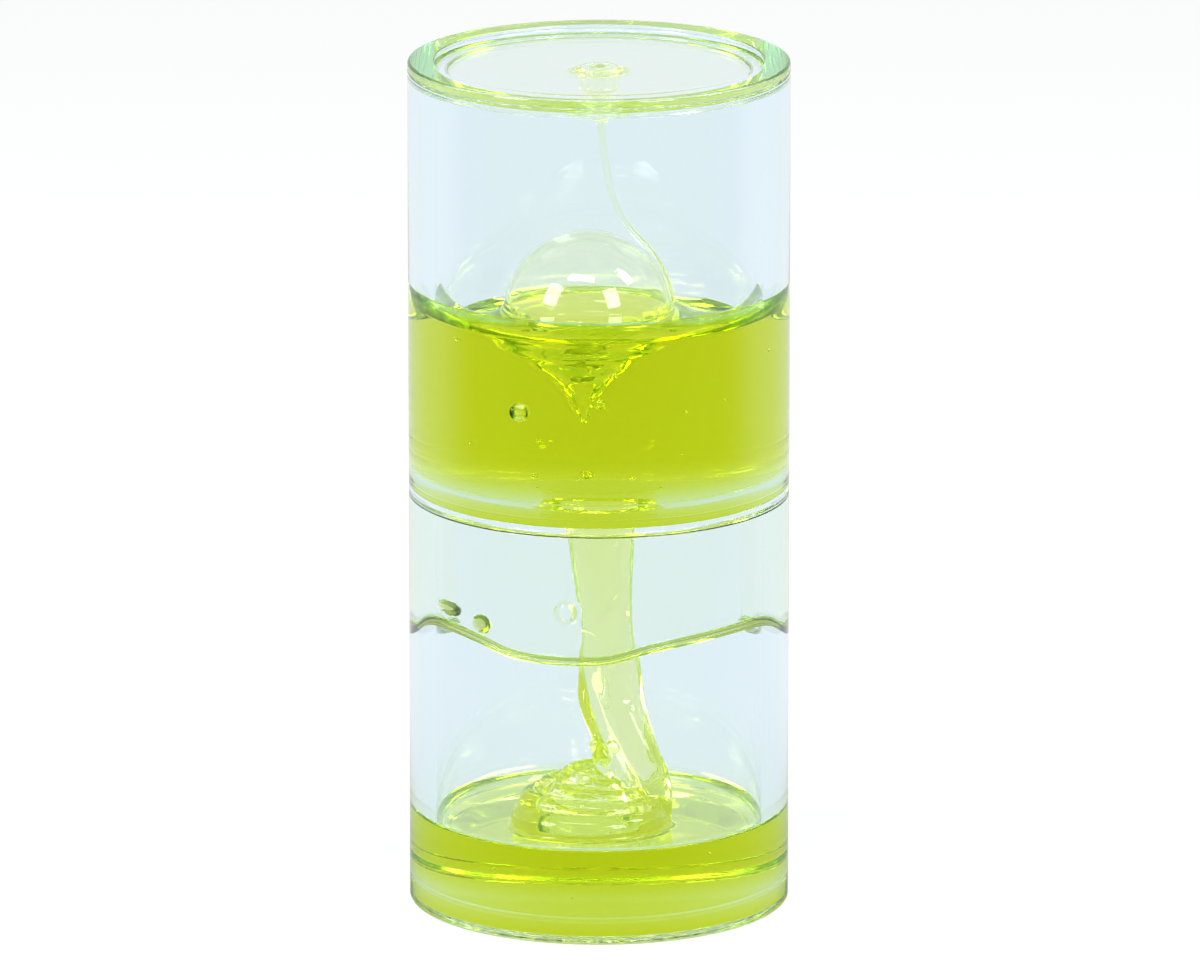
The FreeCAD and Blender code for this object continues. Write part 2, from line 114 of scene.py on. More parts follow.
# Upper gel, with the climb at its wall as (height above the level, thickness there).
UPPER_LEVEL = edge_of("surface_bubble", 0)
UPPER_CLIMB = (
    (5.0, 0.0), (4.35, 0.5), (3.6, 1.1), (2.85, 1.8), (2.15, 2.6), (1.5, 3.5),
    (0.95, 4.5), (0.5, 5.5), (0.2, 6.5), (0.04, 7.3), (0.0, 7.9),
)
UPPER_CONTACT = UPPER_LEVEL + UPPER_CLIMB[0][0]
CLIMB_STEPS = 4
# At the back: share of the climb that is missing, how far the surface falls to the wall, over what
# width, and where round the axis this starts and how fast it grows.
BACK_FALL = 0.6
BACK_DROP = 4.2
BACK_WIDTH = 12.0
BACK_START = 0.02
BACK_BLEND = 0.4
# The upper gel and the stream meet at the middle of the hole.
SPLIT = MIDDLE
SPLIT_GAP = 0.01
# Points held beside a rounding of the gel's wetted side, of the film's and of the plug's.
GEL_HOLD = 0.08
FILM_HOLD = 0.04
PLUG_HOLD = 0.05

# Bubble on the upper gel: axis, half width, height above its centre, and the foot's
# (reach from the axis, height above the level).
BUBBLE_AXIS = -2.0
BUBBLE_REACH = 14.4
BUBBLE_HEIGHT = 13.5
BUBBLE_LIFT = 1.0
BUBBLE_FOOT = ((17.9, 0.0), (16.9, 0.05), (16.0, 0.22), (15.3, 0.6), (14.85, 1.15), (14.6, 1.8))
FOOT_STEPS = 3
DOME_START = 0.9
BUBBLE_FILM = 0.32
# Hollow under it, from a shoulder above the level: (depth below the level, reach from the axis).
# Waves in its side grow over the first HOLLOW_CALM.
HOLLOW_SHOULDER = 0.8
HOLLOW_CALM = 4.0
HOLLOW = (
    (0.1, 13.3), (0.5, 12.7), (1.2, 12.1), (2.4, 10.9), (4.2, 8.9), (6.4, 6.4), (8.5, 4.4),
    (10.8, 2.8), (13.4, 1.7), (15.6, 0.9), (17.0, 0.35),
)

# Stream: (height, right, back, half width, half depth).
STREAM = (
    (71.0, 0.05, -0.05, 6.25, 6.1),
    (69.0, 0.15, -0.2, 6.0, 5.6),
    (63.7, 0.4, -0.5, 5.7, 4.9),
    (55.6, 0.8, -1.2, 4.95, 4.4),
    (47.7, 1.5, -2.2, 4.45, 4.0),
    (42.9, 1.8, -3.2, 5.3, 3.9),
    (35.2, 2.9, -5.2, 5.3, 3.8),
    (29.0, 4.9, -7.2, 5.2, 3.8),
    (24.7, 6.5, -8.0, 5.3, 3.6),
    (20.5, 8.0, -8.7, 4.6, 3.4),
    (16.8, 9.0, -9.0, 3.3, 3.0),
    (13.6, 9.3, -9.2, 2.6, 2.6),
)
STREAM_CUT = 33.0
# How far it follows the hole down, then the rounding of the hole's mouth, and its neck under the
# mouth: (reach, height).
HOLE_STRAIGHT = 0.24
MOUTH_DROPS = (0.2, 0.4, 0.55, 0.6)
STREAM_NECK = ((6.6, 73.5), (6.56, 73.1), (6.48, 72.4), (6.4, 71.6))
STREAM_STEP = 0.5
# Its lobe, the groove beside it, which turns as it rises, and a ridge on the other side. A span is
# (top, fade, foot, fade).
RELIEF = 0.2
GROOVE_BEARING = -86
GROOVE_TURN = 45
GROOVE_FOOT = 24
GROOVE_RISE = 14.7
GROOVE_WIDTH = 0.25
LOBE_APART = 0.62
LOBE_WIDTH = 0.34
LOBE_SPAN = (43, 7, 20, 4)
RIDGE_APART = 0.95
RIDGE_WIDTH = 0.42
RIDGE_SPAN = (37, 1.6, 22, 5)
# Air pocket in it: (right, back, height, radius).
STREAM_POCKET = (
    (1.1, -3.6, 40.6, 0.12), (1.3, -3.9, 39.4, 0.4), (1.5, -4.2, 37.6, 0.5),
    (1.9, -4.6, 35.8, 0.35), (2.1, -4.9, 34.6, 0.12),
)

# Lower gel and the folds on it: (right, back, height, radius) along each strand.
LOWER_LEVEL = edge_of("gel_folds", 0)
LOWER_CLIMB = (
    (1.1, 0.0), (0.95, 0.1), (0.7, 0.3), (0.4, 0.7), (0.16, 1.3), (0.05, 2.1), (0.0, 3.6),
)
FOLDS = (
    ((9.2, -8.8, 17.0, 2.7), (8.0, -13.2, 16.9, 2.7), (3.5, -17.0, 16.8, 2.6),
     (-3.0, -18.0, 16.9, 2.6), (-9.5, -15.5, 17.0, 2.7), (-12.2, -9.5, 17.2, 2.8),
     (-9.5, -3.5, 17.2, 2.8), (-3.0, -0.6, 17.2, 2.7), (4.0, -1.6, 17.0, 2.6),
     (8.4, -5.0, 16.8, 2.5)),
    ((9.6, -10.0, 19.0, 2.1), (6.0, -14.4, 19.2, 1.9), (0.0, -16.2, 19.5, 1.8),
     (-6.6, -15.2, 19.8, 1.9), (-11.4, -11.0, 20.0, 2.1), (-10.0, -5.0, 20.2, 2.2),
     (-4.0, -2.6, 20.6, 2.2), (3.0, -3.4, 20.8, 2.0)),
    ((9.2, -9.0, 20.6, 1.7), (4.6, -12.8, 21.0, 1.6), (-1.6, -13.6, 21.6, 1.6),
     (-7.0, -11.8, 22.0, 1.7), (-8.6, -8.6, 22.4, 1.8), (-5.4, -5.6, 22.8, 1.8),
     (0.4, -5.2, 23.2, 1.7)),
    ((7.0, -8.6, 22.6, 1.5), (2.6, -11.4, 22.8, 1.5), (-2.4, -11.4, 23.4, 1.5),
     (-5.2, -9.4, 24.0, 1.6), (-3.4, -7.2, 24.8, 1.6), (0.4, -7.0, 25.4, 1.5)),
    ((-0.6, -9.6, 30.0, 1.1), (0.4, -9.9, 28.4, 1.6), (0.9, -9.9, 27.0, 1.7),
     (0.2, -9.4, 25.4, 1.5), (-2.0, -8.8, 24.4, 1.6)),
)
LOWER_CONTACT = LOWER_LEVEL + LOWER_CLIMB[0][0]
# How softly the folds run into each other and into the pool, and the shaped patch's reach and cell.
FOLD_MELT = 0.45
POOL_MELT = 1.3
PATCH = 23.6
FOLD_CELL = 0.42

# Thread: (right, back, height, radius).
THREAD = (
    (0.45, 0.0, 139.2, 1.2), (0.45, 0.0, 137.9, 0.85), (0.7, 0.0, 134.5, 0.66),
    (1.3, 0.0, 130.0, 0.6), (2.1, 0.0, 126.0, 0.56), (3.6, -0.1, 122.3, 0.52),
    (5.4, -0.2, 119.4, 0.5), (7.6, -0.3, 117.0, 0.5), (9.3, -0.4, 114.9, 0.55),
    (10.7, -0.5, 112.5, 0.6), (11.8, -0.6, 109.8, 0.65), (12.3, -0.7, 107.4, 0.7),
    (12.4, -0.8, 105.6, 0.5),
)

# Film under the top cap: (reach, height) of its free side, from the ring to the drip.
CAP_FILM = (
    (26.27, 145.75), (25.9, 145.85), (24.0, 145.95), (15.0, 145.98), (7.0, 145.95), (5.0, 145.8),
    (4.0, 145.2), (3.6, 144.0), (3.45, 142.2), (3.2, 140.9), (2.5, 140.0), (1.6, 139.2),
    (0.9, 138.75), (0.3, 138.52),
)

# Sheet on the lower wall: (bearing from the front, height of its edge), then
# (distance above the edge, thickness).
SHEET_EDGE = (
    (-112, 46.4), (-104, 46.2), (-96, 46.4), (-88, 47.3), (-80, 48.9), (-71, 51.2), (-60, 52.0),
    (-44, 51.2), (-27, 49.3), (0, 49.1), (17, 50.9), (35, 51.9), (57, 52.2), (70, 51.2), (80, 49.0),
    (88, 47.3), (96, 46.4), (104, 46.2), (112, 46.4),
)
SHEET_BEAD = (
    (0.0, 0.0), (0.04, 0.28), (0.14, 0.55), (0.33, 0.8), (0.58, 0.9), (0.82, 0.78), (1.05, 0.54),
    (1.3, 0.28), (1.6, 0.1), (2.3, 0.03), (4.0, 0.015), (16.0, 0.015),
)
# Drops on it: (bearing, height, half width, half height, stand).
SHEET_DROPS = (
    (-58.0, 55.8, 3.0, 1.0, 1.2),
    (-42.5, 54.5, 1.8, 1.5, 1.4),
)
# Ring left by a bubble: bearing, height, radius, stand, width.
SHEET_RING = (-10.8, 58.3, 1.75, 0.3, 0.28)
# The bead swells before the sheet's ends, from one bearing over a span, thins out at the ends
# themselves and waves a little along the edge.
SHEET_LOOPS = 361
SHEET_END_SWELL = 1.4
SHEET_END_FROM = 82
SHEET_END_SPAN = 14
SHEET_TAPER = 14
SHEET_WAVE = 0.12
SHEET_LEAST = 0.004
SHEET_PLAIN = 2.3

# Air bubbles: (right, back, height, radius).
UPPER_BUBBLES = (
    (-12.5, -22.5, 92.6, 1.7), (0.2, -6.0, 91.6, 0.9), (2.0, -8.0, 97.0, 0.55),
    (-18.0, -10.0, 84.6, 0.35), (-6.5, 4.0, 83.4, 0.4), (17.0, -8.0, 92.0, 0.25),
    (-9.0, -14.0, 80.2, 0.5), (4.5, -12.0, 79.6, 0.4), (9.0, 6.0, 88.0, 0.3),
    (-4.0, 12.0, 96.0, 0.35), (-1.5, -2.5, 78.6, 0.9), (-15.0, 6.0, 100.0, 0.4),
    (12.0, -16.0, 84.0, 0.22), (20.0, 3.0, 98.0, 0.3),
)
LOWER_BUBBLES = (
    (2.2, -6.5, 28.4, 1.3), (-3.0, -12.0, 17.5, 0.5), (4.0, -16.0, 17.0, 0.45),
    (-8.0, -9.0, 18.5, 0.5), (12.0, 4.0, 9.0, 0.25), (17.0, -12.0, 7.0, 0.3),
    (-14.0, -8.0, 8.5, 0.25), (5.0, 10.0, 11.0, 0.3), (-4.0, -20.0, 6.0, 0.2),
)
BUBBLE_DETAIL = 4
BUBBLE_SQUASH = 0.85
BUBBLE_SEED = 7

# Colours that light takes on in the gel, in the wall sheet, along which light is led, and in the
# acrylic. The wall sheet's colour is painted shade: it is the same gel, made far denser and darker
# so that its thin bead shows olive.
LIME = (0.922, 0.933, 0.08)
LIME_DENSITY = 100.0
# Painted shade: the wall sheet's lime and density make it a much darker copy of the gel's.
SHEET_PAINTED_SHADE_LIME = (0.72, 0.77, 0.05)
SHEET_PAINTED_SHADE_DENSITY = 1000.0
EDGE_TINT = (0.68, 0.93, 0.7)
EDGE_DENSITY = 10.0
ACRYLIC_IOR = 1.49
GEL_IOR = 1.47
# Gel against plastic bends light hardly at all.
WETTED_IOR = 1.005
# Risen gel bends light fully from this far above its first contact line.
RISEN = 0.1

# Room as seen through the object, behind it and on the camera's side.
ROOM_THROUGH = (0.79, 0.895, 1.0)
ROOM_FRONT = (0.6, 0.87, 0.62)
# Its brightness in mirrored rays, on the camera's side and behind.
MIRRORED_FRONT = 0.12
MIRRORED_BACK = 0.9
# Its light on matt surfaces.
ROOM_LIGHT = 0.35
FLOOR_COLOUR = (0.9, 0.92, 0.94, 1)
FLOOR_SIZE = 6.0
# How much of the white floor is light of its own, seen directly and through the object.
FLOOR_GLOW = 0.75
FLOOR_GLOW_THROUGH = 0.96

# Soft boxes, aimed at the middle of the object: (name, bearing from the front, angle above the
# level, distance, width, height, power), in metres, degrees and watts.
LAMPS = (
    ("strip_left", -56, 30, 1.3, 0.46, 0.66, 18.0),
    ("strip_right", 38, 29, 1.3, 0.42, 0.64, 15.0),
    ("side_box", 82, 46, 1.4, 0.3, 0.45, 6.0),
    ("top_box", -15, 62, 1.6, 0.9, 0.22, 8.0),
)
LAMP_AIM = Vector((0, 0, 0.075))

# Camera: where it aims, how far away it is (metres), its angle above the level, sensor and lens.
CAMERA_AIM = Vector((0.17, 0, 74.39))
CAMERA_DISTANCE = 2.2
CAMERA_RISE = 14.195
CAMERA_SENSOR = 36.0
CAMERA_LENS = 380.64
CAMERA_END = 30.0
# Light that is led inside the plastic and the gel bounces often. With fewer bounces it turns grey.
BOUNCES = 120
CLEAR_BOUNCES = 60


class Skin:
    """Points, faces and face marks of one closed surface."""

    def __init__(self, points, faces):
        self.points = np.asarray(points, dtype=float)
        self.faces = [tuple(int(i) for i in face) for face in faces]
        self.marks = {}

    def centres(self):
        """Middles of the faces."""
        return np.array([self.points[list(face)].mean(0) for face in self.faces])

    def mark(self, name, test):
        """Marks the faces whose middles pass a test of (reach, height)."""
        at = self.centres()
        self.marks[name] = np.asarray(test(np.hypot(at[:, 0], at[:, 1]), at[:, 2]), dtype=float)
        return self

    def volume(self):
        """Volume inside, negative where the faces point inward."""
        total = 0.0
        for face in self.faces:
            first = self.points[face[0]]
            for one, two in zip(face[1:], face[2:]):
                total += first @ np.cross(self.points[one], self.points[two])
        return total / 6

    def first(self, rows):
        """1 for the faces of a loft's first rows, 0 for the others."""
        return (np.arange(len(self.faces)) < rows * AROUND).astype(float)

    def outward(self, hollow=False):
        """Turns the faces to point out of the skin, or into it where the skin is a hollow."""
        if (self.volume() < 0) != hollow:
            self.faces = [face[::-1] for face in self.faces]
        return self


def loft(rings):
    """A skin over rings of points with one count. A ring of one point is a pole."""
    points, index, faces = [], [], []
    for ring in rings:
        ring = np.atleast_2d(ring)
        index.append(range(len(points), len(points) + len(ring)))
        points.extend(ring)
    count = max(len(row) for row in index)
    for low, high in zip(index, index[1:]):
        for step in range(count):
            after = (step + 1) % count
            if len(low) == 1:
                faces.append((low[0], high[after], high[step]))
            elif len(high) == 1:
                faces.append((low[step], low[after], high[0]))
            else:
                faces.append((low[step], low[after], high[after], high[step]))
    return Skin(points, faces)


def circle(reach, height, across=0.0, back=0.0, count=AROUND):
    """A level ring of points, or its centre where it has no reach."""
    if reach < 1e-6:
        return np.array((across, back, height))
    turn = np.arange(count) * math.tau / count
    right, behind = across + reach * np.cos(turn), back + reach * np.sin(turn)
    return np.stack((right, behind, np.full(count, height)), 1)


def eased(share):
    """A share from 0 to 1 that starts and ends gently."""
    return share * share * (3 - 2 * share)


def leaning(ring):
    """A ring of the upper gel's free side moved down at the back, where the gel hangs behind the
    bubble and climbs less."""
    reach = np.hypot(ring[:, 0], ring[:, 1])
    share = eased(np.clip((ring[:, 1] / reach - BACK_START) / BACK_BLEND, 0, 1))
    near = np.clip(1 - ((BORE - reach) / BACK_WIDTH) ** 2, 0, 1)
    climb = np.clip(ring[:, 2] - UPPER_LEVEL, 0, None)
    ring[:, 2] -= share * (BACK_FALL * climb + BACK_DROP * near)
    return ring


def rounded(corners, hold=0.12):
    """Points of an open outline through (reach, height, rounding) corners. Each rounding is an arc
    with a point held before and after it, so that flats stay flat in shading."""
    places = [np.array(corner[:2], dtype=float) for corner in corners]
    made = [places[0]]
    for index in range(1, len(corners) - 1):
        corner, here = corners[index], places[index]
        before, after = places[index - 1] - here, places[index + 1] - here
        before, after = before / np.linalg.norm(before), after / np.linalg.norm(after)
        half = math.acos(float(np.clip(before @ after, -1, 1))) / 2
        if half > math.pi / 2 - STRAIGHT:
            made.append(here)
            continue
        rounding = corner[2] if len(corner) > 2 else LEAST_ROUNDING
        reach = rounding / math.tan(half)
        middle = (before + after) / np.linalg.norm(before + after)
        centre = here + middle * rounding / math.sin(half)
        first, last = here + before * reach - centre, here + after * reach - centre
        turn = math.atan2(first[0] * last[1] - first[1] * last[0], first @ last)
        made.append(here + before * (reach + hold))
        steps = 5 + int(rounding * 4)
        for angle in np.linspace(0, turn, steps + 1):
            made.append(centre + (first[0] * math.cos(angle) - first[1] * math.sin(angle),
                                  first[0] * math.sin(angle) + first[1] * math.cos(angle)))
        made.append(here + after * (reach + hold))
    made.append(places[-1])
    return made


def curve(rows, steps):
    """Points of a smooth curve through rows of numbers."""
    rows = np.asarray(rows, dtype=float)
    rows = np.vstack((2 * rows[0] - rows[1], rows, 2 * rows[-1] - rows[-2]))
    made = []
    for a, b, c, d in zip(rows, rows[1:], rows[2:], rows[3:]):
        for t in np.arange(steps) / steps:
            square = (2 * a - 5 * b + 4 * c - d) * t * t
            cube = (3 * b - a - 3 * c + d) * t ** 3
            made.append(0.5 * (2 * b + (c - a) * t + square + cube))
    made.append(rows[-2])
    return np.array(made)


def melt(first, second, reach):
    """Smooth union of two distance fields."""
    share = np.clip(0.5 + 0.5 * (second - first) / reach, 0, 1)
    return second * (1 - share) + first * share - reach * share * (1 - share)


def rope_field(at, strand):
    """Distance of points from a strand through (right, back, height, radius)."""
    line = curve(strand, 4)
    nearest = np.full(len(at), 1e3)
    for start, end in zip(line, line[1:]):
        way = end[:3] - start[:3]
        share = np.clip(((at - start[:3]) @ way) / (way @ way), 0, 1)
        gap = np.linalg.norm(at - start[:3] - share[:, None] * way, axis=1)
        nearest = np.minimum(nearest, gap - start[3] - share * (end[3] - start[3]))
    return nearest


def net(field, low, high, cell):
    """A skin where a field is zero: a point in each cell that it crosses, drawn onto it."""
    low, high = np.array(low, dtype=float), np.array(high, dtype=float)
    counts = np.ceil((high - low) / cell).astype(int) + 1
    ways = [low[i] + np.arange(counts[i]) * cell for i in range(3)]
    side, up = np.meshgrid(ways[1], ways[2], indexing="ij")
    values = []
    for x in ways[0]:
        places = np.stack((np.full(side.size, x), side.ravel(), up.ravel()), 1)
        values.append(field(places).reshape(side.shape))
    values = np.array(values)
    inside = values < 0
    total, hits = np.zeros(tuple(counts - 1) + (3,)), np.zeros(tuple(counts - 1))
    for axis in range(3):
        others = [k for k in range(3) if k != axis]
        for shift in ((0, 0), (0, 1), (1, 0), (1, 1)):
            start = [slice(0, n - 1) for n in counts]
            for other, step in zip(others, shift):
                start[other] = slice(step, counts[other] - 1 + step)
            end = list(start)
            end[axis] = slice(1, counts[axis])
            one, two = values[tuple(start)], values[tuple(end)]
            crossed = (one < 0) != (two < 0)
            place = np.zeros(one.shape + (3,))
            place[..., axis] = np.where(crossed, one / np.where(one == two, 1, one - two), 0)
            for other, step in zip(others, shift):
                place[..., other] = step
            total += place * crossed[..., None]
            hits += crossed
    cells = np.argwhere(hits > 0)
    number = np.full(tuple(counts - 1), -1)
    number[tuple(cells.T)] = np.arange(len(cells))
    points = low + (cells + total[tuple(cells.T)] / hits[tuple(cells.T)][:, None]) * cell
    for _ in range(5):
        slopes = [(field(points + step) - field(points - step)) / 0.02 for step in np.eye(3) * 0.01]
        slope = np.stack(slopes, 1)
        move = field(points)[:, None] * slope / np.maximum((slope ** 2).sum(1), 0.05)[:, None]
        length = np.maximum(np.linalg.norm(move, axis=1, keepdims=True), 1e-9)
        points = points - move * np.minimum(1, 0.3 * cell / length)
    faces = []
    for axis in range(3):
        one_way, other_way = (axis + 1) % 3, (axis + 2) % 3
        start = [slice(1, counts[k] - 1) for k in range(3)]
        end = list(start)
        start[axis], end[axis] = slice(0, counts[axis] - 1), slice(1, counts[axis])
        near, far = inside[tuple(start)], inside[tuple(end)]
        where = np.argwhere(near != far)
        where[:, one_way] += 1
        where[:, other_way] += 1
        corners = []
        for a, b in ((1, 1), (0, 1), (0, 0), (1, 0)):
            cell_at = where.copy()
            cell_at[:, one_way] -= a
            cell_at[:, other_way] -= b
            corners.append(number[tuple(cell_at.T)])
        quads = np.stack(corners, 1)
        backward = ~near[near != far]
        quads[backward] = quads[backward][:, ::-1]
        faces.append(quads)
    return Skin(points, np.vstack(faces))


def tube_skin(line, count=24):
    """A skin round (right, back, height, radius) points, with a pole at each end."""
    rings = [line[0][:3]]
    ways = np.gradient(line[:, :3], axis=0)
    side = np.array((0.0, 1.0, 0.0))
    turn = np.arange(count) * math.tau / count
    for point, way in zip(line, ways):
        way = way / np.linalg.norm(way)
        across = np.cross(side, way)
        across /= np.linalg.norm(across)
        side = np.cross(way, across)
        ring = np.cos(turn)[:, None] * across + np.sin(turn)[:, None] * side
        rings.append(point[:3] + point[3] * ring)
    rings.append(line[-1][:3])
    return loft(rings)


def piece(name, skins, finish, bubbles=None):
    """One object of several skins, with their marks. Edges between marked and plain faces are
    sharp, and wetted faces are flat."""
    points = np.vstack([skin.points for skin in skins]) * MM
    faces, start = [], 0
    for skin in skins:
        faces.extend(tuple(i + start for i in face) for face in skin.faces)
        start += len(skin.points)
    mesh = bpy.data.meshes.new(name)
    mesh.from_pydata(points.tolist(), [], faces)
    mesh.materials.append(finish)
    mesh.shade_smooth()
    for mark in ("wetted", "joint"):
        values = [skin.marks.get(mark, np.zeros(len(skin.faces))) for skin in skins]
        values = np.concatenate(values).astype(np.float32)
        mesh.attributes.new(mark, "FLOAT", "FACE").data.foreach_set("value", values)
    made = bmesh.new()
    made.from_mesh(mesh)
    if bubbles is not None:
        made.from_mesh(bubbles)
    layers = [made.faces.layers.float[mark] for mark in ("wetted", "joint")]
    for edge in made.edges:
        if len(edge.link_faces) == 2:
            one, two = edge.link_faces
            edge.smooth = all(one[layer] == two[layer] for layer in layers)
    for face in made.faces:
        face.smooth = face[layers[0]] == 0
    made.to_mesh(mesh)
    made.free()
    made = bpy.data.objects.new(name, mesh)
    bpy.context.scene.collection.objects.link(made)
    return made


class Value:
    """A number from a node. Python's operators on it add Math nodes."""

    def __init__(self, finish, socket):
        self.finish, self.socket = finish, socket

    def _math(self, operation, one, two):
        made = self.finish.node("ShaderNodeMath", {"operation": operation}, {0: one, 1: two})
        return Value(self.finish, made.outputs[0])

    def __add__(self, other):
        return self._math("ADD", self, other)

    __radd__ = __add__

    def __rsub__(self, other):
        return self._math("SUBTRACT", other, self)

    def __mul__(self, other):
        return self._math("MULTIPLY", self, other)

    __rmul__ = __mul__

    def __pow__(self, other):
        return self._math("POWER", self, other)

    def __lt__(self, other):
        return self._math("LESS_THAN", self, other)


class Finish:
    """A material and its nodes, or a world's."""

    def __init__(self, owner):
        self.material = bpy.data.materials.new(owner) if isinstance(owner, str) else owner
        self.material.use_nodes = True
        self.tree = self.material.node_tree
        self.tree.nodes.clear()

    def node(self, kind, settings=None, inputs=None):
        """A node of that type, with its settings and then the values or links of its sockets."""
        made = self.tree.nodes.new(kind)
        for name, value in (settings or {}).items():
            setattr(made, name, value)
        for name, value in (inputs or {}).items():
            if isinstance(value, Value):
                value = value.socket
            if isinstance(value, bpy.types.NodeSocket):
                self.tree.links.new(value, made.inputs[name])
            else:
                made.inputs[name].default_value = value
        return made

    def mark(self, name):
        """A mark of the faces, 0 or 1."""
        made = self.node("ShaderNodeAttribute", {"attribute_name": name})
        return Value(self, made.outputs["Fac"])

    def place(self, axis, kind="Object"):
        """One coordinate of the point that is shaded, in metres."""
        made = self.node("ShaderNodeTexCoord").outputs[kind]
        return Value(self, self.node("ShaderNodeSeparateXYZ", None, {0: made}).outputs[axis])

    def noise(self, scale, detail=2.0, roughness=0.5):
        """Cloudy unevenness, 0 to 1, with that many clouds to the metre."""
        made = self.node("ShaderNodeTexNoise", None, {
            "Vector": self.node("ShaderNodeTexCoord").outputs["Object"],
            "Scale": scale, "Detail": detail, "Roughness": roughness,
        })
        return Value(self, made.outputs["Fac"])

    def ramp(self, where, start, end, low=0.0, high=1.0):
        """A number that goes smoothly from low at start to high at end."""
        made = self.node("ShaderNodeMapRange", {"interpolation_type": "SMOOTHSTEP"}, {
            "Value": where, "From Min": start, "From Max": end, "To Min": low, "To Max": high,
        })
        return Value(self, made.outputs[0])

    def blend(self, share, one, two):
        """A colour that goes from one to two with share."""
        made = self.node("ShaderNodeMix", {"data_type": "RGBA"}, {
            "Factor": share, "A": one, "B": two,
        })
        return made.outputs["Result"]

    def rays(self):
        """Whether a ray comes from the camera, is mirrored, or goes through the object. A ray that
        glass bends counts as glossy too, so it is taken out of the mirrored ones."""
        path = self.node("ShaderNodeLightPath")
        through = Value(self, path.outputs["Is Transmission Ray"])
        mirrored = Value(self, path.outputs["Is Glossy Ray"]) * (1.0 - through)
        return Value(self, path.outputs["Is Camera Ray"]), mirrored, through

    def tone(self, through, where, front, back):
        """White, or for rays through the object the room's tone from front to back."""
        share = self.ramp(where, front, back)
        room = self.blend(share, (*ROOM_FRONT, 1), (*ROOM_THROUGH, 1))
        return self.blend(through, (1, 1, 1, 1), room)

    def brightness(self, mirrored, where, front, back):
        """1, or for mirrored rays the room's brightness from front to back."""
        rear = self.ramp(where, front, back, MIRRORED_FRONT, MIRRORED_BACK)
        return (1.0 - mirrored) + mirrored * rear

    def bump(self, height, strength, distance):
        """A surface direction for that unevenness."""
        made = self.node("ShaderNodeBump", None, {
            "Height": height, "Strength": strength, "Distance": distance,
        })
        return made.outputs["Normal"]

    def depth(self, colour, density):
        """Colour from the depth of the plastic or gel that light goes through."""
        return self.node("ShaderNodeVolumeAbsorption", None, {
            "Color": (*colour, 1), "Density": density,
        })

    def mix(self, share, one, two):
        """A surface that goes from one to two with share."""
        return self.node("ShaderNodeMixShader", None, {
            0: share, 1: one.outputs[0], 2: two.outputs[0],
        })

    def out(self, surface, volume=None):
        """The material with its surface and inside."""
        inputs = {"Surface": surface.outputs[0]}
        if volume is not None:
            inputs["Volume"] = volume.outputs[0]
        self.node("ShaderNodeOutputMaterial", None, inputs)
        return self.material


def clear_acrylic(name):
    """Cast acrylic: faint tint through its thickness, a haze of fine handling marks, and no surface
    of its own where gel wets it."""
    finish = Finish(name)
    marks = finish.noise(900.0, 3.0, 0.6)
    cloud = finish.noise(60.0)
    surface = finish.node("ShaderNodeBsdfPrincipled", None, {
        "Base Color": finish.blend(cloud, (0.997, 1.0, 1.0, 1), (1.0, 1.0, 1.0, 1)),
        "Roughness": 0.004 + 0.012 * marks ** 3.0,
        "IOR": ACRYLIC_IOR,
        "Transmission Weight": 1.0,
        "Alpha": 1.0 - finish.mark("wetted"),
        "Normal": finish.bump(marks, 0.04, 0.00002),
    })
    return finish.out(surface, finish.depth(EDGE_TINT, EDGE_DENSITY))


def lime_gel(name, colour, density, wall_end=None):
    """Clear lime gel: its colour comes from its depth, and slow swirls leave its surface uneven.
    Gel that has risen past wall_end lies against wall with its own surface, so it bends light
    fully."""
    finish = Finish(name)
    swirl = finish.noise(140.0)
    shared = {
        "Base Color": finish.blend(swirl, (0.985, 1.0, 0.93, 1), (1.0, 1.0, 0.98, 1)),
        "Roughness": 0.002 + 0.01 * finish.noise(45.0),
        "Transmission Weight": 1.0,
        "Alpha": 1.0 - finish.mark("joint"),
    }
    free = finish.node("ShaderNodeBsdfPrincipled", None, {
        **shared, "IOR": GEL_IOR, "Normal": finish.bump(swirl, 0.06, 0.0002),
    })
    wet = finish.node("ShaderNodeBsdfPrincipled", None, {**shared, "IOR": WETTED_IOR})
    wetted = finish.mark("wetted")
    if wall_end is not None:
        wetted = wetted * (finish.place("Z") < (wall_end + RISEN) * MM)
    return finish.out(finish.mix(wetted, free, wet), finish.depth(colour, density))


ACRYLIC = clear_acrylic("clear_acrylic")
PLUG_ACRYLIC = clear_acrylic("plug_acrylic")
GEL = lime_gel("lime_gel", LIME, LIME_DENSITY)
UPPER_GEL = lime_gel("lime_gel_upper", LIME, LIME_DENSITY, UPPER_CONTACT)
LOWER_GEL = lime_gel("lime_gel_lower", LIME, LIME_DENSITY, LOWER_CONTACT)
# The wall sheet's finish is a darker painted-shade copy of the lime gel.
SHADED_SHEET_GEL = lime_gel("lime_gel_sheet_painted_shade", SHEET_PAINTED_SHADE_LIME, SHEET_PAINTED_SHADE_DENSITY)


def seam(height):
    """Corners of the fine groove at a cemented seam, finest beside the divider."""
    deep = SEAM_GROOVE if abs(height - MIDDLE) > BORE else DIVIDER_SEAM_GROOVE
    return (
        (OUTER, height - SEAM_HOLD), (OUTER, height - SEAM_WIDTH, SEAM_ROUNDING),
        (OUTER - deep, height, SEAM_ROUNDING),
        (OUTER, height + SEAM_WIDTH, SEAM_ROUNDING), (OUTER, height + SEAM_HOLD),
    )


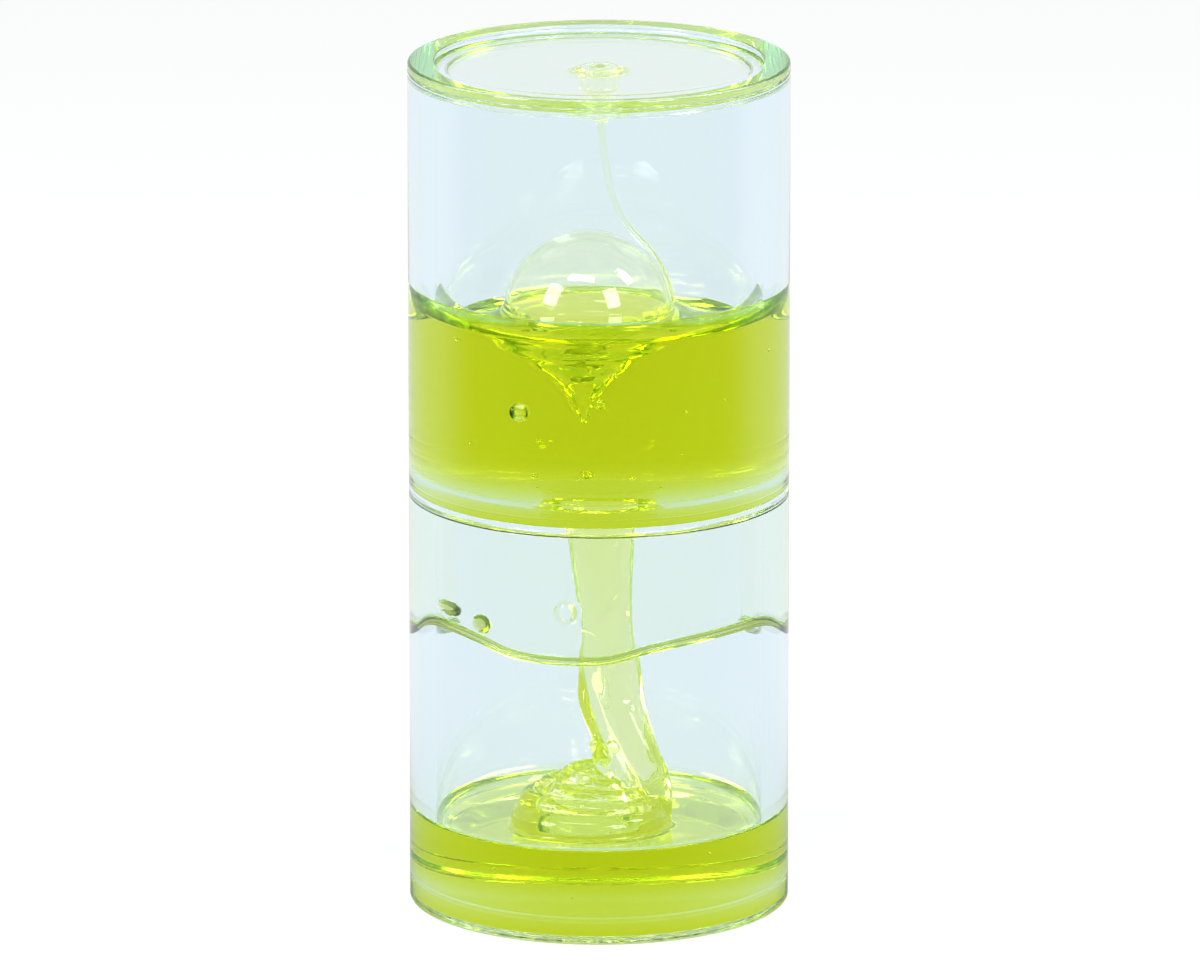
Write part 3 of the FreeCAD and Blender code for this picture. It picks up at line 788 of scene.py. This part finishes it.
def vessel():
    """Both tubes, the divider and both caps in one skin, as they are cemented."""
    head_foot = HEIGHT - RECESS - PLUG_HEAD_DEPTH
    outside = [(0, BASE_RECESS), (BORE, BASE_RECESS, 0.15), (BORE, 0, 0.12), (OUTER, 0, 0.6)]
    for tube in ("lower_tube", "upper_tube"):
        for end in (0, 1):
            outside.extend(seam(edge_of(tube, end)))
    outside += [
        (OUTER, HEIGHT, 0.6), (BORE, HEIGHT, 0.25), (BORE, HEIGHT - RECESS, 0.7),
        (PLUG_HEAD + PLUG_GAP, HEIGHT - RECESS), (PLUG_HEAD + PLUG_GAP, head_foot),
        (PLUG_SHANK + PLUG_GAP, head_foot), (PLUG_SHANK + PLUG_GAP, BOSS_END),
    ]
    upper = [
        (BOSS, BOSS_END, 0.3), (BOSS, CEILING, 0.6), (RING_BORE, CEILING, 0.2),
        (RING_BORE, CEILING - RING, 0.3), (BORE, CEILING - RING), (BORE, UPPER_CONTACT),
        (BORE, DIVIDER_TOP + RING), (RING_BORE, DIVIDER_TOP + RING, 0.3), (RING_BORE, DIVIDER_TOP),
        (HOLE, DIVIDER_TOP, MOUTH), (HOLE, SPLIT),
    ]
    lower = [
        (HOLE, DIVIDER_UNDER, MOUTH), (RING_BORE, DIVIDER_UNDER),
        (RING_BORE, DIVIDER_UNDER - RING, 0.3), (BORE, DIVIDER_UNDER - RING), (BORE, LOWER_CONTACT),
        (BORE, FLOOR + RING), (RING_BORE, FLOOR + RING, 0.3), (RING_BORE, FLOOR), (0, FLOOR),
    ]
    rings = []
    for reach, height in rounded(outside + upper + lower):
        ring = circle(reach, height)
        # The ring that meets the upper gel's contact line dips at the back with it.
        meets = reach > 0 and abs(height - UPPER_CONTACT) < 1e-6
        rings.append(leaning(ring) if meets else ring)
    skin = loft(rings).outward()
    cling = DIVIDER_UNDER + MOUTH - MOUTH_DROPS[-1]

    def wetted(reach, height):
        inside = reach < BORE + 1
        above = inside & (height > cling) & (height < UPPER_CONTACT)
        above &= (reach < HOLE + MOUTH) | (height > MIDDLE)
        below = inside & (height > FLOOR - 0.2) & (height < LOWER_CONTACT)
        under_cap = (reach > PLUG_SHANK + 0.1) & (reach < RING_BORE + 0.01)
        under_cap &= (height > BOSS_END - 0.2) & (height < CEILING + 0.2)
        return above | below | under_cap

    made = piece("vessel", [skin.mark("wetted", wetted)], ACRYLIC)
    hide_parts("bottom_cap", "lower_tube", "divider", "upper_tube", "top_cap")
    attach(made, "vessel")


def filling_plug():
    """The plug in the top cap's boss, with a slightly crowned head. Gel wets its end."""
    head_top, head_foot = HEIGHT - RECESS, HEIGHT - RECESS - PLUG_HEAD_DEPTH
    corners = [
        (0, head_top + 0.05), (PLUG_HEAD - 0.3, head_top, 0.2), (PLUG_HEAD, head_top - 0.15, 0.08),
        (PLUG_HEAD, head_foot + PLUG_GAP), (PLUG_SHANK, head_foot + PLUG_GAP),
        (PLUG_SHANK, PLUG_END, 0.25), (0, PLUG_END),
    ]
    rows = rounded(corners, PLUG_HOLD)
    skin = loft([circle(reach, height, count=AROUND // 2) for reach, height in rows]).outward()
    skin.mark("wetted", lambda reach, height: height < BOSS_END - 0.1)
    made = piece("filling_plug", [skin], PLUG_ACRYLIC)
    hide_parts("fill_plug")
    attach(made, "vessel")


def bubble_outline():
    """(reach, height) of the dome's outside, from its foot up."""
    foot = curve([(reach, UPPER_LEVEL + up) for reach, up in BUBBLE_FOOT], FOOT_STEPS)
    start = math.asin((BUBBLE_FOOT[-1][1] + DOME_START - BUBBLE_LIFT) / BUBBLE_HEIGHT)
    middle = UPPER_LEVEL + BUBBLE_LIFT
    dome = []
    for turn in np.linspace(start, math.pi / 2, 60):
        dome.append((BUBBLE_REACH * math.cos(turn), middle + BUBBLE_HEIGHT * math.sin(turn)))
    return [tuple(point) for point in foot] + dome[:-1] + [(0.0, dome[-1][1])]


def hollow():
    """The air under the dome: its inside, then the bowl and its tail, whose sides wave a little."""
    reach, height = BUBBLE_REACH - BUBBLE_FILM, BUBBLE_HEIGHT - BUBBLE_FILM
    middle = UPPER_LEVEL + BUBBLE_LIFT
    turns = np.linspace(math.pi / 2, 0.0, 56)[1:]
    rows = [(reach * math.cos(t), middle + height * math.sin(t)) for t in turns]
    bowl = [(reach, UPPER_LEVEL + HOLLOW_SHOULDER)]
    bowl += [(wide, UPPER_LEVEL - deep) for deep, wide in HOLLOW]
    rows += [tuple(point) for point in curve(bowl, 5)[1:]]
    rings = [circle(0, rows[0][1] + 0.002, BUBBLE_AXIS)]
    turn = np.arange(AROUND) * math.tau / AROUND
    for wide, up in rows:
        deep = max(UPPER_LEVEL - up, 0.0)
        near = min(deep / HOLLOW_CALM, 1)
        sway = 1 + near * (0.05 * np.sin(2 * turn + 0.8) + 0.03 * np.sin(3 * turn + up * 0.35))
        ripple = 0.03 * np.sin(1.9 * deep + np.sin(turn))
        ripple += 0.012 * np.sin(3.4 * deep + 2 * turn + 1.0)
        ring = circle(1.0, up)
        ring[:, :2] *= (wide * (sway + near * ripple))[:, None]
        ring[:, 0] += BUBBLE_AXIS + 0.02 * deep
        rings.append(ring)
    rings.append(circle(0, rows[-1][1] - 0.25, BUBBLE_AXIS + 0.35))
    return loft(rings).outward(hollow=True)


def upper_gel():
    """The upper gel with its climb at the wall, the dome on it and the hollow under the dome."""
    ring_top = DIVIDER_TOP + RING - WETTING
    contact = rounded([
        (0, SPLIT + SPLIT_GAP), (HOLE + WETTING, SPLIT + SPLIT_GAP, 0.001),
        (HOLE + WETTING, DIVIDER_TOP - WETTING, MOUTH),
        (RING_BORE + WETTING, DIVIDER_TOP - WETTING),
        (RING_BORE + WETTING, ring_top, 0.3), (BORE + WETTING, ring_top),
        (BORE + WETTING, UPPER_CONTACT),
    ], GEL_HOLD)
    climb = curve(UPPER_CLIMB, CLIMB_STEPS)[1:]
    rows = [(reach, height, 0.0) for reach, height in contact]
    rows += [(BORE + WETTING - thick, UPPER_LEVEL + up, 0.0) for up, thick in climb]
    rows += [(reach, height, BUBBLE_AXIS) for reach, height in bubble_outline()]
    first_free = len(contact) - 1
    climb_end = first_free + len(climb) + FOOT_STEPS * (len(BUBBLE_FOOT) - 1) + 1
    rings = [circle(reach, height, across) for reach, height, across in rows]
    for number in range(first_free, climb_end):
        rings[number] = leaning(rings[number])
    skin = loft(rings).outward()
    skin.mark("joint", lambda reach, height: height < SPLIT + SPLIT_GAP * 2)
    skin.marks["wetted"] = skin.first(first_free) * (1 - skin.marks["joint"])
    bubbles = air_bubbles("upper", UPPER_BUBBLES)
    made = piece("upper_gel", [skin, hollow()], UPPER_GEL, bubbles)
    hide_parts("upper_gel_pool", "surface_bubble")
    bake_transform(made, "vessel", "upper_level", (0, 0, DIVIDER_TOP * MM), (0, 0, UPPER_LEVEL * MM))


def air_bubbles(name, places):
    """Small hollows in the gel, as a mesh whose faces look inward."""
    seeds = bpy.data.meshes.new(name + "_bubble_seeds")
    seeds.from_pydata([(a * MM, b * MM, c * MM) for a, b, c, _ in places], [], [])
    sizes = seeds.attributes.new("bubble_size", "FLOAT", "POINT")
    sizes.data.foreach_set("value", [radius * MM for *_, radius in places])
    tree = bpy.data.node_groups.new(name + "_bubbles", "GeometryNodeTree")
    tree.interface.new_socket("Seeds", in_out="INPUT", socket_type="NodeSocketGeometry")
    detail = tree.interface.new_socket("Detail", in_out="INPUT", socket_type="NodeSocketInt")
    uneven = tree.interface.new_socket("Unevenness", in_out="INPUT", socket_type="NodeSocketFloat")
    tree.interface.new_socket("Bubbles", in_out="OUTPUT", socket_type="NodeSocketGeometry")
    new = tree.nodes.new
    source, target = new("NodeGroupInput"), new("NodeGroupOutput")
    ball, place = new("GeometryNodeMeshIcoSphere"), new("GeometryNodeInstanceOnPoints")
    size, joined = new("GeometryNodeInputNamedAttribute"), new("ShaderNodeCombineXYZ")
    random, times = new("FunctionNodeRandomValue"), new("ShaderNodeMath")
    real, flip = new("GeometryNodeRealizeInstances"), new("GeometryNodeFlipFaces")
    shade, dress = new("GeometryNodeSetShadeSmooth"), new("GeometryNodeSetMaterial")
    ball.inputs["Radius"].default_value = 1.0
    size.data_type = "FLOAT"
    size.inputs["Name"].default_value = "bubble_size"
    random.data_type = "FLOAT"
    random.inputs["Seed"].default_value = BUBBLE_SEED
    random.inputs["Min"].default_value = BUBBLE_SQUASH
    times.operation = "MULTIPLY"
    dress.inputs["Material"].default_value = GEL
    for giver, output, taker, entry in (
        (source, "Seeds", place, "Points"), (source, "Detail", ball, "Subdivisions"),
        (source, "Unevenness", random, 3), (ball, "Mesh", place, "Instance"),
        (size, "Attribute", times, 0), (random, 1, times, 1), (size, "Attribute", joined, 0),
        (size, "Attribute", joined, 1), (times, 0, joined, 2), (joined, 0, place, "Scale"),
        (place, "Instances", real, 0), (real, 0, flip, 0), (flip, 0, shade, 0),
        (shade, 0, dress, 0), (dress, 0, target, 0),
    ):
        tree.links.new(giver.outputs[output], taker.inputs[entry])
    carrier = bpy.data.objects.new(name + "_bubbles", seeds)
    bpy.context.scene.collection.objects.link(carrier)
    modifier = carrier.modifiers.new("bubbles", "NODES")
    modifier.node_group = tree
    modifier[detail.identifier] = BUBBLE_DETAIL
    modifier[uneven.identifier] = 1.0
    carrier.update_tag()
    depsgraph = bpy.context.evaluated_depsgraph_get()
    mesh = bpy.data.meshes.new_from_object(carrier.evaluated_get(depsgraph))
    bpy.data.objects.remove(carrier)
    return mesh


def stream_section(height):
    """Centre and half sizes of the stream at heights."""
    table = curve(STREAM, 10)[::-1]
    return [np.interp(height, table[:, 0], table[:, column]) for column in range(1, 5)]


def span(height, top, fade_down, foot, fade_up):
    """1 between a top and a foot, fading to 0 at both."""
    return np.clip((top - height) / fade_down, 0, 1) * np.clip((height - foot) / fade_up, 0, 1)


def relief(turn, height):
    """How far the stream's lobe and ridge stand out and the groove between them goes in, as shares
    of its size."""
    rise = np.clip((height - GROOVE_FOOT) / GROOVE_RISE, 0, 1.3)
    groove = math.radians(GROOVE_BEARING) - math.radians(GROOVE_TURN) * rise

    def swell(middle, width):
        return np.exp(-((np.mod(turn - middle + math.pi, math.tau) - math.pi) / width) ** 2)

    lobe = swell(groove - LOBE_APART, LOBE_WIDTH) - swell(groove, GROOVE_WIDTH)
    ridge = swell(groove + RIDGE_APART, RIDGE_WIDTH)
    return RELIEF * (eased(span(height, *LOBE_SPAN)) * lobe + span(height, *RIDGE_SPAN) * ridge)


def oval(height, across, back, wide, deep):
    """A level ring of the stream with its relief."""
    ring = circle(1.0, height)
    ring[:, :2] *= (1 + relief(np.arange(AROUND) * math.tau / AROUND, height))[:, None]
    ring[:, 0] = across + wide * ring[:, 0]
    ring[:, 1] = back + deep * ring[:, 1]
    return ring


def stream():
    """The strand from the middle of the hole to the cut above the pile, with its air pocket."""
    wet = [(HOLE + WETTING, SPLIT - SPLIT_GAP), (HOLE + WETTING, SPLIT - HOLE_STRAIGHT)]
    for drop in MOUTH_DROPS:
        reach = HOLE + MOUTH + WETTING - math.sqrt(MOUTH ** 2 - drop ** 2)
        wet.append((reach, DIVIDER_UNDER + MOUTH - drop))
    rings = [circle(0, SPLIT - SPLIT_GAP)]
    rings += [circle(reach, height) for reach, height in (*wet, *STREAM_NECK)]
    for height in np.arange(STREAM[0][0], STREAM_CUT - SPLIT_GAP, -STREAM_STEP):
        rings.append(oval(height, *stream_section(height)))
    rings[-1][:, 2] = STREAM_CUT + SPLIT_GAP
    across, back = stream_section(STREAM_CUT)[:2]
    rings.append(np.array((float(across), float(back), STREAM_CUT + SPLIT_GAP)))
    skin = loft(rings)
    joint = skin.first(1)
    joint[-AROUND:] = 1
    skin.marks = {"joint": joint, "wetted": skin.first(len(wet)) - skin.first(1)}
    pocket = tube_skin(curve(STREAM_POCKET, 6)).outward(hollow=True)
    made = piece("gel_strand", [skin.outward(), pocket], GEL)
    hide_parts("gel_stream")
    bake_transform(made, "vessel", "lower_level", (0, 0, SPLIT * MM), (0, 0, STREAM_CUT * MM))


def pile_field(at):
    """Distance from the lower gel's surface with its folds and the stream's foot."""
    folds = rope_field(at, FOLDS[0])
    for strand in FOLDS[1:]:
        folds = melt(folds, rope_field(at, strand), FOLD_MELT)
    across, back, wide, deep = stream_section(at[:, 2])
    right, behind = (at[:, 0] - across) / wide, (at[:, 1] - back) / deep
    foot = np.hypot(right, behind) - 1 - relief(np.arctan2(behind, right), at[:, 2])
    foot = np.maximum(foot * np.minimum(wide, deep), STREAM[-1][0] - at[:, 2])
    return melt(at[:, 2] - LOWER_LEVEL, melt(folds, foot, FOLD_MELT), POOL_MELT)


def lower_gel():
    """The lower gel: folds and the stream's foot as one shaped patch, cut off level where the
    stream goes on, with the pool's surface, its climb and its wetted side round it."""
    low = (-PATCH - 1, -PATCH - 1, LOWER_LEVEL - 1.2)
    high = (PATCH + 1, PATCH + 1, STREAM_CUT + 1.0)
    patch = net(pile_field, low, high, FOLD_CELL)
    ring_top = FLOOR + RING - WETTING
    rows = rounded([
        (0, FLOOR - WETTING), (RING_BORE + WETTING, FLOOR - WETTING),
        (RING_BORE + WETTING, ring_top, 0.3), (BORE + WETTING, ring_top),
        (BORE + WETTING, LOWER_CONTACT),
    ], GEL_HOLD)
    wet_rows = len(rows) - 1
    climb = curve(LOWER_CLIMB, CLIMB_STEPS)[1:]
    rows += [(BORE + WETTING - thick, LOWER_LEVEL + up) for up, thick in climb]
    bowl = loft([circle(reach, height) for reach, height in rows])
    made = bmesh.new()
    wetted = made.faces.layers.float.new("wetted")
    joint = made.faces.layers.float.new("joint")
    own = [made.verts.new(tuple(point)) for point in patch.points]
    keep = np.hypot(patch.points[:, 0], patch.points[:, 1]) < PATCH
    for face in patch.faces:
        if all(keep[i] for i in face):
            made.faces.new([own[i] for i in face])
    everything = made.verts[:] + made.edges[:] + made.faces[:]
    cut = bmesh.ops.bisect_plane(
        made, geom=everything, dist=1e-6, plane_co=(0, 0, STREAM_CUT - SPLIT_GAP),
        plane_no=(0, 0, 1), clear_outer=True,
    )
    rim = [edge for edge in cut["geom_cut"] if isinstance(edge, bmesh.types.BMEdge)]
    for face in bmesh.ops.edgeloop_fill(made, edges=rim)["faces"]:
        face[joint] = 1
    loose = [vert for vert in made.verts if not vert.link_faces]
    bmesh.ops.delete(made, geom=loose, context="VERTS")
    ragged = [edge for edge in made.edges if edge.is_boundary]
    for edge in ragged:
        for vert in edge.verts:
            vert.co.z = LOWER_LEVEL
    own = [made.verts.new(tuple(point)) for point in bowl.points]
    for number, face in enumerate(bowl.faces):
        new = made.faces.new([own[i] for i in face])
        new[wetted] = float(number < wet_rows * AROUND)
    last = set(own[-AROUND:])
    bank = [edge for edge in made.edges if edge.is_boundary and last.issuperset(edge.verts)]
    bmesh.ops.triangle_fill(made, use_beauty=True, edges=ragged + bank, normal=(0, 0, 1))
    bmesh.ops.recalc_face_normals(made, faces=made.faces[:])
    made.verts.index_update()
    faces = [[vert.index for vert in face.verts] for face in made.faces]
    skin = Skin([vert.co[:] for vert in made.verts], faces)
    for name, layer in (("wetted", wetted), ("joint", joint)):
        skin.marks[name] = np.array([face[layer] for face in made.faces])
    made.free()
    bubbles = air_bubbles("lower", LOWER_BUBBLES)
    made = piece("lower_gel", [skin.outward()], LOWER_GEL, bubbles)
    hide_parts("lower_gel_pool", "gel_folds")
    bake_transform(made, "vessel", "lower_level", (0, 0, FLOOR * MM), (0, 0, LOWER_LEVEL * MM))


def drawn_thread():
    """The thread drawn from the boss down to the dome."""
    made = piece("gel_drawn_thread", [tube_skin(curve(THREAD, 6)).outward()], GEL)
    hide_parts("gel_thread")
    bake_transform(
        made, "vessel", "upper_level", (0, 0, BOSS_END * MM), (0, 0, (UPPER_LEVEL + 12) * MM),
    )


def cap_film():
    """The film under the top cap, which wraps the boss and the plug's end and hangs in a drip."""
    rows = rounded([
        (0, PLUG_END + WETTING), (PLUG_SHANK - WETTING, PLUG_END + WETTING, 0.2),
        (PLUG_SHANK - WETTING, BOSS_END + WETTING, 0.05), (BOSS - WETTING, BOSS_END + WETTING, 0.3),
        (BOSS - WETTING, CEILING + WETTING, 0.6), (RING_BORE + WETTING, CEILING + WETTING, 0.2),
        CAP_FILM[0],
    ], FILM_HOLD)
    wet_rows = len(rows) - 1
    rows += [tuple(point) for point in curve(CAP_FILM, 4)[1:]]
    rows.append((0.0, CAP_FILM[-1][1] - 0.02))
    skin = loft([circle(reach, height) for reach, height in rows])
    skin.marks["wetted"] = skin.first(wet_rows)
    made = piece("cap_film", [skin.outward()], GEL)
    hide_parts("cap_gel_film")
    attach(made, "vessel")


def sheet_thickness(bearing, up, foot, bead):
    """Thickness of the wall sheet at heights above its edge, with the drops and the ring on it."""
    taper = min(1.0, (1 - abs(bearing / SHEET_EDGE[-1][0])) * SHEET_TAPER + 0.02)
    end = min(max((abs(bearing) - SHEET_END_FROM) / SHEET_END_SPAN, 0), 1)
    thick = np.interp(up, bead[:, 0], bead[:, 1]) * taper * (1 + SHEET_END_SWELL * end)
    thick = thick * (1 + SHEET_WAVE * math.sin(math.radians(bearing * 3)) * np.clip(up, 0, 1))
    for at, height, wide, tall, stand in SHEET_DROPS:
        gone = math.radians(bearing - at) * BORE / wide
        shape = 1 - gone ** 2 - ((foot + up - height) / tall) ** 2
        thick = thick + stand * np.sqrt(np.clip(shape, 0, None))
    at, height, reach, stand, width = SHEET_RING
    apart = np.hypot(math.radians(bearing - at) * BORE, foot + up - height)
    return thick + stand * np.exp(-((apart - reach) / width) ** 2)


def wall_sheet():
    """The sheet on the lower wall as loops, one at each bearing, from its beaded edge up to the
    divider's ring."""
    edges, bead = curve(SHEET_EDGE, 8), curve(SHEET_BEAD, 3)
    top = DIVIDER_UNDER - RING
    beaded = bead[bead[:, 0] < SHEET_PLAIN, 0]
    rings = []
    for bearing in np.linspace(SHEET_EDGE[0][0], SHEET_EDGE[-1][0], SHEET_LOOPS):
        foot = float(np.interp(bearing, edges[:, 0], edges[:, 1]))
        up = np.concatenate((beaded, np.linspace(SHEET_PLAIN, top - foot, 60)))
        thick = np.maximum(sheet_thickness(bearing, up, foot, bead), SHEET_LEAST)
        outer = np.stack((np.full(len(up), BORE + WETTING), foot + up), 1)
        inner = np.stack((BORE + WETTING - thick, foot + up), 1)[::-1]
        reach, height = np.vstack((outer, inner)).T
        turn = math.radians(bearing)
        rings.append(np.stack((reach * math.sin(turn), -reach * math.cos(turn), height), 1))
    skin = loft([rings[0].mean(0)] + rings + [rings[-1].mean(0)])
    # The sheet wears the darker painted-shade copy of the gel.
    made = piece("wall_sheet", [skin.outward()], SHADED_SHEET_GEL)
    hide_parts("wall_gel_curtain")
    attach(made, "vessel")


def pale_floor():
    """A matt white floor that keeps the object's shadow and is white to camera and glass."""
    side, ground = FLOOR_SIZE, -FLOOR_GAP * MM
    mesh = bpy.data.meshes.new("floor")
    corners = ((-side, -side), (side, -side), (side, side), (-side, side))
    mesh.from_pydata([(*corner, ground) for corner in corners], [], [(0, 1, 2, 3)])
    floor = bpy.data.objects.new("floor", mesh)
    bpy.context.scene.collection.objects.link(floor)
    finish = Finish("pale_floor")
    camera_ray, mirrored, through = finish.rays()
    seen = camera_ray * FLOOR_GLOW + mirrored + through * FLOOR_GLOW_THROUGH
    back = finish.place("Y")
    matt = finish.node("ShaderNodeBsdfDiffuse", None, {"Color": FLOOR_COLOUR})
    glow = finish.node("ShaderNodeEmission", None, {
        "Color": finish.tone(through, back, -0.1, 0.1),
        "Strength": finish.brightness(mirrored, back, -0.1, 0.15),
    })
    mesh.materials.append(finish.out(finish.mix(seen, matt, glow)))


def white_room():
    """The world: a white room to camera rays and rays through the object, whose front is dark in
    mirrored rays, and a low even light on matt surfaces."""
    world = bpy.data.worlds.new("studio")
    bpy.context.scene.world = world
    sky = Finish(world)
    camera_ray, mirrored, through = sky.rays()
    back = sky.place("Y", "Generated")
    room = sky.node("ShaderNodeBackground", None, {
        "Color": sky.tone(through, back, -0.5, 0.4),
        "Strength": sky.brightness(mirrored, back, -0.5, 0.5),
    })
    light = sky.node("ShaderNodeBackground", None, {"Color": (1, 1, 1, 1), "Strength": ROOM_LIGHT})
    seen = sky.mix(camera_ray + mirrored + through, light, room)
    sky.node("ShaderNodeOutputWorld", None, {"Surface": seen.outputs[0]})


def soft_boxes():
    """The lamps, aimed at the object."""
    for name, bearing, up, far, wide, tall, power in LAMPS:
        lamp = bpy.data.lights.new(name, "AREA")
        lamp.shape, lamp.size, lamp.size_y, lamp.energy = "RECTANGLE", wide, tall, power
        holder = bpy.data.objects.new(name, lamp)
        bpy.context.scene.collection.objects.link(holder)
        side, rise = math.radians(bearing), math.radians(up)
        level = math.cos(rise)
        way = Vector((math.sin(side) * level, -math.cos(side) * level, math.sin(rise)))
        holder.location = way * far + LAMP_AIM
        holder.rotation_mode = "QUATERNION"
        holder.rotation_quaternion = way.to_track_quat("Z", "Y")


def camera():
    """The camera at the photograph's angle, and the render's own settings."""
    scene = bpy.context.scene
    made = bpy.data.objects.new("camera", bpy.data.cameras.new("camera"))
    scene.collection.objects.link(made)
    made.data.sensor_width, made.data.lens = CAMERA_SENSOR, CAMERA_LENS
    made.data.clip_end = CAMERA_END
    rise = math.radians(CAMERA_RISE)
    back = Vector((0, -math.cos(rise), math.sin(rise)))
    made.location = CAMERA_AIM * MM + back * CAMERA_DISTANCE
    made.rotation_mode = "QUATERNION"
    made.rotation_quaternion = back.to_track_quat("Z", "Y")
    scene.camera = made
    scene.view_settings.view_transform = "Standard"
    scene.cycles.max_bounces = scene.cycles.glossy_bounces = BOUNCES
    scene.cycles.transmission_bounces = scene.cycles.transparent_max_bounces = CLEAR_BOUNCES


vessel()
filling_plug()
upper_gel()
stream()
lower_gel()
drawn_thread()
cap_film()
wall_sheet()
pale_floor()
white_room()
soft_boxes()
camera()
